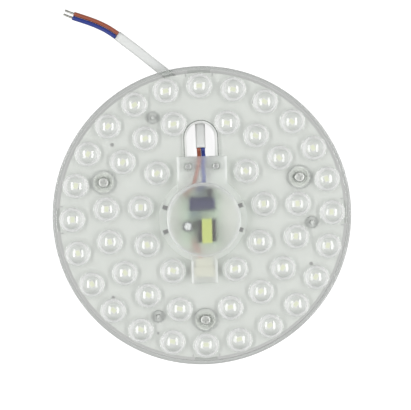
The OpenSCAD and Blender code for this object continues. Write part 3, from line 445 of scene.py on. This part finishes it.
# Painted shade: a thin grey line along the slot's edge, for the shade that falls along its wall.
tint = add(tree, "ShaderNodeMix", {7: linear("#9EA29F")}, {0: line, 6: tint}, data_type="RGBA").outputs[2]
flank = add(
    tree, "ShaderNodeMath", links={0: above, 1: steepness(tree, *FLANK_SLOPES)}, operation="MULTIPLY").outputs[0]
share = add(
    tree, "ShaderNodeMapRange", {"To Min": 1.0, "To Max": FLANK_TRANSMISSION}, {"Value": flank}).outputs["Result"]
skin = add(
    tree, "ShaderNodeBsdfPrincipled", {"IOR": CLEAR_IOR},
    {"Base Color": tint, "Roughness": gloss, "Transmission Weight": share}).outputs["BSDF"]
let_light_in(tree, skin, "#FDFEFD", "#868A88")
wear(clear, lens_skin)
print(f"clear cover of {len(tree.nodes)} nodes")

# %% [markdown]
# ## Frosted cover
#
# The driver's cover comes from an etched mould, which leaves a matt skin on the same kind of plastic. A blurred
# picture could be painted behind it, but a rough transmission does what the real skin does: pieces that touch the
# window show, and deeper ones melt away. Steep faces, and the tops of the neck's and the tail's walls, are looked
# through along the whole wall, so more of them is plain white.

# %% Frosted cover
# Polycarbonate, moulded and etched: a soft white veil with an even sheen, strongest on edges and upright walls.
FROSTED_IOR, FROSTED_ROUGHNESS, ETCHED_GRAIN = 1.45, (0.5, 0.58), 1.5 * MM
DRUM_SIDE, DRUM_TOP, SIDE_TRANSMISSION, TOP_TRANSMISSION = 19 * MM, 24 * MM, 0.94, 0.995
VEIL_SLOPES, STEEP_LOSS, WALL_LOSS = (11, 60), 0.6, 0.3
NECK_HALF, TAIL_HALF, NECK_START, TAIL_START = 15.3 * MM, 8.0 * MM, 22 * MM, -27 * MM
COVER_WALL, WALL_FADE, END_FADE = 1.2 * MM, 0.1 * MM, 0.5 * MM
frosted, tree = start("polycarbonate_frosted_moulded")
place = add(tree, "ShaderNodeTexCoord").outputs["Object"]
part = add(tree, "ShaderNodeSeparateXYZ", links={0: place}).outputs
noise = add(tree, "ShaderNodeTexNoise", {"Scale": 1 / ETCHED_GRAIN, "Detail": 3}, {"Vector": place}).outputs["Fac"]
gloss = add(
    tree, "ShaderNodeMapRange", {"To Min": FROSTED_ROUGHNESS[0], "To Max": FROSTED_ROUGHNESS[1]},
    {"Value": noise}).outputs["Result"]
body = add(
    tree, "ShaderNodeMapRange",
    {"From Min": DRUM_SIDE, "From Max": DRUM_TOP, "To Min": SIDE_TRANSMISSION, "To Max": TOP_TRANSMISSION},
    {"Value": part["Z"]}).outputs["Result"]
share = add(
    tree, "ShaderNodeMath", {1: -STEEP_LOSS}, {0: steepness(tree, *VEIL_SLOPES), 2: body},
    operation="MULTIPLY_ADD").outputs[0]
aside = add(tree, "ShaderNodeMath", links={0: part["X"]}, operation="ABSOLUTE").outputs[0]
walls = None
for outside, begin, end_fade in ((NECK_HALF, NECK_START, END_FADE), (TAIL_HALF, TAIL_START, -END_FADE)):
    inside = outside - COVER_WALL
    over = add(
        tree, "ShaderNodeMapRange", {"From Min": inside - WALL_FADE, "From Max": inside + WALL_FADE},
        {"Value": aside}).outputs["Result"]
    beyond = add(
        tree, "ShaderNodeMapRange", {"From Min": begin, "From Max": begin + end_fade},
        {"Value": part["Y"]}).outputs["Result"]
    both = add(tree, "ShaderNodeMath", links={0: over, 1: beyond}, operation="MULTIPLY").outputs[0]
    walls = both if walls is None else add(
        tree, "ShaderNodeMath", links={0: walls, 1: both}, operation="MAXIMUM").outputs[0]
share = add(tree, "ShaderNodeMath", {1: -WALL_LOSS}, {0: walls, 2: share}, operation="MULTIPLY_ADD").outputs[0]
skin = add(
    tree, "ShaderNodeBsdfPrincipled", {"Base Color": linear("#FCFDFC"), "IOR": FROSTED_IOR},
    {"Roughness": gloss, "Transmission Weight": share}).outputs["BSDF"]
let_light_in(tree, skin, "#FCFDFC", "#F0F2F0")
wear(frosted, driver_skin)
print(f"frosted cover of {len(tree.nodes)} nodes")

# %% [markdown]
# ## Board and LEDs
#
# The board is an aluminium plate that carries the LEDs' heat away, under printed white solder mask. Under each well
# the mask is left off, where a magnet foot is screwed to it. The bare rings could be thin pieces of their own, but the
# distance from a foot's axis draws them on the board itself. The back is bare too, so faces that point down are metal.
# Each LED is a small white reflector filled with silicone, and phosphor in it turns the chip's blue light white.

# %% Board and LEDs
# Solder mask, printed on aluminium: an even, faintly cool white with a satin sheen, dull metal in the rings where it
# is left off, and plain metal on the back.
MASK_DRIFT, MASK_ROUGHNESS = 9 * MM, (0.35, 0.5)
RING_OUTSIDE, RING_FULL, RING_METAL, BACK_NORMAL = 6.5 * MM, 6.2 * MM, 0.35, -0.5
mask_white, tree = start("solder_mask_white_on_aluminium")
place = add(tree, "ShaderNodeTexCoord").outputs["Object"]
noise = add(tree, "ShaderNodeTexNoise", {"Scale": 1 / MASK_DRIFT, "Detail": 4}, {"Vector": place}).outputs["Fac"]
plan = add(tree, "ShaderNodeVectorMath", {1: (1, 1, 0)}, {0: place}, operation="MULTIPLY").outputs["Vector"]
nearest = None
for side in ("right", "lower", "left"):
    corners = np.array(nodes[f"magnet_cup_{side}"].bound_box)
    axis = (*(corners.min(0) + corners.max(0))[:2] / 2, 0)
    away = add(tree, "ShaderNodeVectorMath", {1: axis}, {0: plan}, operation="DISTANCE").outputs["Value"]
    nearest = away if nearest is None else add(
        tree, "ShaderNodeMath", links={0: nearest, 1: away}, operation="MINIMUM").outputs[0]
ring = add(
    tree, "ShaderNodeMapRange", {"From Min": RING_OUTSIDE, "From Max": RING_FULL},
    {"Value": nearest}).outputs["Result"]
normal = add(tree, "ShaderNodeNewGeometry").outputs["Normal"]
upward = add(tree, "ShaderNodeSeparateXYZ", links={0: normal}).outputs["Z"]
back_face = add(tree, "ShaderNodeMath", {1: BACK_NORMAL}, {0: upward}, operation="LESS_THAN").outputs[0]
dull = add(tree, "ShaderNodeMath", {1: RING_METAL}, {0: ring}, operation="MULTIPLY").outputs[0]
metal = add(tree, "ShaderNodeMath", links={0: dull, 1: back_face}, operation="MAXIMUM").outputs[0]
bare = add(tree, "ShaderNodeMath", links={0: ring, 1: back_face}, operation="MAXIMUM").outputs[0]
white = add(
    tree, "ShaderNodeMix", {6: linear("#ECEDEB"), 7: linear("#E6E7E5")}, {0: noise}, data_type="RGBA").outputs[2]
tone = add(tree, "ShaderNodeMix", {7: linear("#E6E8E4")}, {0: bare, 6: white}, data_type="RGBA").outputs[2]
gloss = add(
    tree, "ShaderNodeMapRange", {"To Min": MASK_ROUGHNESS[0], "To Max": MASK_ROUGHNESS[1]},
    {"Value": noise}).outputs["Result"]
skin = add(
    tree, "ShaderNodeBsdfPrincipled", links={"Base Color": tone, "Roughness": gloss, "Metallic": metal})
add(tree, "ShaderNodeOutputMaterial", links={"Surface": skin.outputs["BSDF"]})
wear(mask_white, "led_board")
# Reflector resin, moulded: a chalky white that stays bright beside the board.
wear(drifting("resin_white_moulded", "#F8F8F4", "#F1F1EB", 0.6, (0.4, 0.6)),
     "led_packages_outer", "led_packages_middle", "led_packages_inner")
# Silicone with phosphor, poured: a pale greenish yellow with a soft gloss.
wear(drifting("silicone_with_phosphor", "#EFF1DE", "#E6E9CB", 0.4, (0.25, 0.45)),
     "led_phosphors_outer", "led_phosphors_middle", "led_phosphors_inner")
print(f"board of {len(tree.nodes)} nodes, and two finishes for the LEDs")

# %% [markdown]
# ## Metals
#
# Screws, magnet cups, capacitor cans and wire ends are metals under different coats. A photograph of each coat could
# be wrapped round them, but they are small, so what tells them apart is a tint, a roughness and a drift of both across
# each piece. A noise on the piece's own coordinates gives the drift at the grain's real size.

# %% Metals
# Steel, nickel plated: pale and a little warm, too soft to mirror shapes.
nickel = drifting("steel_nickel_plated", "#DCDEDA", "#C6C8C4", 1.2, (0.4, 0.55), Metallic=1.0)
wear(nickel, "magnet_screws", "magnet_cup_right", "magnet_cup_lower", "magnet_cup_left")
# Steel, zinc plated: a cooler grey with small cloudy spots.
zinc = drifting("steel_zinc_plated", "#D8DAD8", "#C4C6C4", 0.7, (0.35, 0.5), Metallic=1.0)
wear(zinc, "cover_screws", "board_screws")
# Aluminium, deep drawn: light grey with a silky gloss.
wear(drifting("aluminium_drawn_can", "#DEE0E0", "#CED0D0", 1.0, (0.25, 0.4), Metallic=1.0),
     "bulk_capacitor_can", "output_capacitor_can")
# Copper strands, dipped in tin: silver with dull patches between the strands.
tin = drifting("copper_strands_tinned", "#CFCFC9", "#A9A9A2", 0.5, (0.25, 0.45), Metallic=1.0)
wear(tin, tips["brown"], tips["blue"])
# Copper wire, enamelled and wound: an orange brown under a thin clear varnish.
wear(drifting("copper_winding_enamelled", "#A8642E", "#86481C", 0.5, (0.3, 0.45)), "transformer_coil")
print("five metals")

# %% [markdown]
# ## Plastics and ferrites
#
# The driver's pieces lie under the frosted window and show as soft patches of colour. They could each be one flat
# colour, since the window blurs them, but in another scene the cover may be off, and the magnets and their spacers
# are in plain view from behind. So each has its two close tones, its sheen and a faint relief at the grain of its
# real surface.

# %% Plastics and ferrites
# Ferrite, sintered: charcoal with a dry, stony surface.
wear(drifting("ferrite_sintered", "#1E1E20", "#141416", 0.8, (0.55, 0.75)),
     "transformer_core", "filter_choke", "magnet_ring_right", "magnet_ring_lower", "magnet_ring_left")
# Epoxy, moulded: black with the fine matt grain of a spark-eroded mould.
wear(drifting("epoxy_black_moulded", "#232323", "#191919", 0.8, (0.45, 0.65)),
     "transformer_base", "bridge_rectifier", "controller_chip")
# Nylon, moulded: white and slightly waxy.
wear(drifting("nylon_white_moulded", "#F0F0EC", "#E6E6E0", 2, (0.45, 0.6)),
     "magnet_spacer_right", "magnet_spacer_lower", "magnet_spacer_left", "driver_tray")
# Nylon, moulded undyed: the cream of most small connectors.
wear(drifting("nylon_cream_moulded", "#C8C7B8", "#BAB9A8", 2, (0.45, 0.6)), "output_header", "output_plug")
# Glass-fibre laminate, cut: pale green with the cloudy grain of its cloth.
wear(drifting("laminate_pale_green_cut", "#CEDECA", "#C0D2BC", 1.5, (0.35, 0.5)), "driver_board")
# PVC sleeve, shrunk on: a deep violet with a smooth gloss.
wear(drifting("sleeve_violet_shrunk", "#1C1C4E", "#161640", 2, (0.25, 0.4)), "bulk_capacitor_sleeve")
# PVC sleeve, shrunk on: nearly black, with the same gloss.
wear(drifting("sleeve_dark_shrunk", "#33333C", "#26262E", 2, (0.25, 0.4)), "output_capacitor_sleeve")
# Polyester tape, wound: a clear, slightly greenish yellow with a film's sheen.
wear(drifting("tape_yellow_polyester", "#BCC66A", "#AEB85E", 3, (0.25, 0.4)), "transformer_band")
# Ceramic, lacquered: a dusty grey blue with a hard gloss.
wear(drifting("ceramic_lacquered", "#7F98A8", "#6C8494", 1, (0.35, 0.5)), "fusible_resistor")
print("nine plastics, ferrites and ceramics")

# %% [markdown]
# ## Soft insulation
#
# Cable and leads are soft PVC, pressed through a die round the copper. It could have a gloss coat, but plain roughness
# in the middle of the range gives the long, soft highlight that soft PVC has.

# %% Soft insulation
# PVC, extruded: an even colour with a satin sheen, in the white of the sheath, in brown, in blue and in red.
white = drifting("pvc_white_extruded", "#DADCDA", "#D0D2D0", 4, (0.35, 0.5))
brown = drifting("pvc_brown_extruded", "#9A543E", "#884630", 3, (0.3, 0.45))
blue = drifting("pvc_blue_extruded", "#293B8C", "#223078", 3, (0.3, 0.45))
red = drifting("pvc_red_extruded", "#C85A50", "#B44C44", 3, (0.3, 0.45))
wear(white, sheath, leads["output_lead_white"])
wear(brown, cores["brown"], leads["brown_lead"])
wear(blue, cores["blue"], leads["blue_lead"])
wear(red, leads["output_lead_red"])
print(f"{len(bpy.data.materials)} materials so far")

# %% [markdown]
# ## Light
#
# Each dome mirrors two long soft boxes, one left and one right, as two bright slivers, and is darker above and below.
# A ring of lamps would fill the domes evenly and hide their shape. So the studio is bright to the left and right and
# dimmer along the photograph's height. Together the light is such that a white card in the open renders white, and
# then each colour renders about as it is written.

# %% Make the light
STUDIO_LEVEL, SIDE_GAIN, HEIGHT_GAIN, UPWARD_GAIN = 0.36, 1.3, -0.28, -0.06
BOX_LENGTH, BOX_WIDTH, BOX_POWER, BOX_SIDE, BOX_HEIGHT = 1.1, 0.28, 4.5, 0.6, 0.85
world = bpy.data.worlds.new("studio")
bpy.context.scene.world = world
world.use_nodes = True
tree = world.node_tree
tree.nodes.clear()
heading = add(tree, "ShaderNodeTexCoord").outputs["Generated"]
level = None
for toward, gain in ((photo_right, SIDE_GAIN), (photo_up, HEIGHT_GAIN)):
    share = add(
        tree, "ShaderNodeVectorMath", {1: toward.tolist()}, {0: heading}, operation="DOT_PRODUCT").outputs["Value"]
    square = add(tree, "ShaderNodeMath", links={0: share, 1: share}, operation="MULTIPLY").outputs[0]
    level = add(
        tree, "ShaderNodeMath", {1: gain, 2: STUDIO_LEVEL}, {0: square, **({2: level} if level else {})},
        operation="MULTIPLY_ADD").outputs[0]
# The last share is the one towards the photograph's upper edge, and that side is a little dimmer.
level = add(tree, "ShaderNodeMath", {1: UPWARD_GAIN}, {0: share, 2: level}, operation="MULTIPLY_ADD").outputs[0]
sky = add(tree, "ShaderNodeBackground", {"Color": linear("#FFFFFF")}, {"Strength": level}).outputs[0]
add(tree, "ShaderNodeOutputWorld", links={"Surface": sky})

for side in (-1, 1):
    lamp = bpy.data.objects.new(f"soft_box_{side}", bpy.data.lights.new("soft_box", "AREA"))
    bpy.context.scene.collection.objects.link(lamp)
    lamp.data.shape, lamp.data.size, lamp.data.size_y = "RECTANGLE", BOX_LENGTH, BOX_WIDTH
    lamp.data.energy = BOX_POWER
    spot = Vector((photo_right * side * BOX_SIDE + np.array([0, 0, BOX_HEIGHT])).tolist())
    lamp.matrix_world = Matrix.Translation(spot) @ spot.to_track_quat("Z", "Y").to_matrix().to_4x4()
print("two soft boxes and a graded studio")

# %% [markdown]
# ## Floor
#
# The module lies on white card, which takes its shadow. More lamps would make the card white and the module too
# bright. So a glow, seen by the camera and in mirrored and bent light, lifts the card to the photograph's white. It
# fades under the driver, where the module lets no light down to the card.

# %% Make the floor
# Card, pressed and uncoated: a flat, even white without any gloss, with a painted shadow under the driver.
FLOOR_HALF, CAMERA_GLOW, BENT_GLOW = 6, 0.86, 0.32
DRIVER_EDGE, OPEN_EDGE, DRIVER_GLOW = 27 * MM, 33 * MM, 0.25
floor_corners = [(x * FLOOR_HALF, y * FLOOR_HALF, 0) for x, y in ((-1, -1), (1, -1), (1, 1), (-1, 1))]
floor_mesh = bpy.data.meshes.new("floor")
floor_mesh.from_pydata(floor_corners, [], [(0, 1, 2, 3)])
floor = bpy.data.objects.new("floor", floor_mesh)
bpy.context.scene.collection.objects.link(floor)
paper, tree = start("card_white_matte")
ray = add(tree, "ShaderNodeLightPath").outputs
bent = add(
    tree, "ShaderNodeMath", links={0: ray["Is Glossy Ray"], 1: ray["Is Transmission Ray"]},
    operation="MAXIMUM").outputs[0]
dim = add(tree, "ShaderNodeMath", {1: BENT_GLOW}, {0: bent}, operation="MULTIPLY").outputs[0]
lift = add(
    tree, "ShaderNodeMath", {1: CAMERA_GLOW}, {0: ray["Is Camera Ray"], 2: dim}, operation="MULTIPLY_ADD").outputs[0]
place = add(tree, "ShaderNodeTexCoord").outputs["Object"]
outward = add(tree, "ShaderNodeVectorMath", links={0: place}, operation="LENGTH").outputs["Value"]
# Painted shadow: the glow fades under the driver, where the module lets no light down to the card.
painted_shadow_fade = add(
    tree, "ShaderNodeMapRange", {"From Min": DRIVER_EDGE, "From Max": OPEN_EDGE, "To Min": DRIVER_GLOW},
    {"Value": outward}).outputs["Result"]
lift = add(tree, "ShaderNodeMath", links={0: lift, 1: painted_shadow_fade}, operation="MULTIPLY").outputs[0]
glow = add(tree, "ShaderNodeEmission", {"Color": linear("#FFFFFF")}, {"Strength": lift}).outputs[0]
card = add(tree, "ShaderNodeBsdfDiffuse", {"Color": linear("#9E9E9E")}).outputs[0]
both = add(tree, "ShaderNodeAddShader", links={0: glow, 1: card}).outputs[0]
add(tree, "ShaderNodeOutputMaterial", links={"Surface": both})
wear(paper, floor)
bpy.context.scene.view_settings.view_transform = "Standard"
print(f"floor of white card, {2 * FLOOR_HALF} m wide")
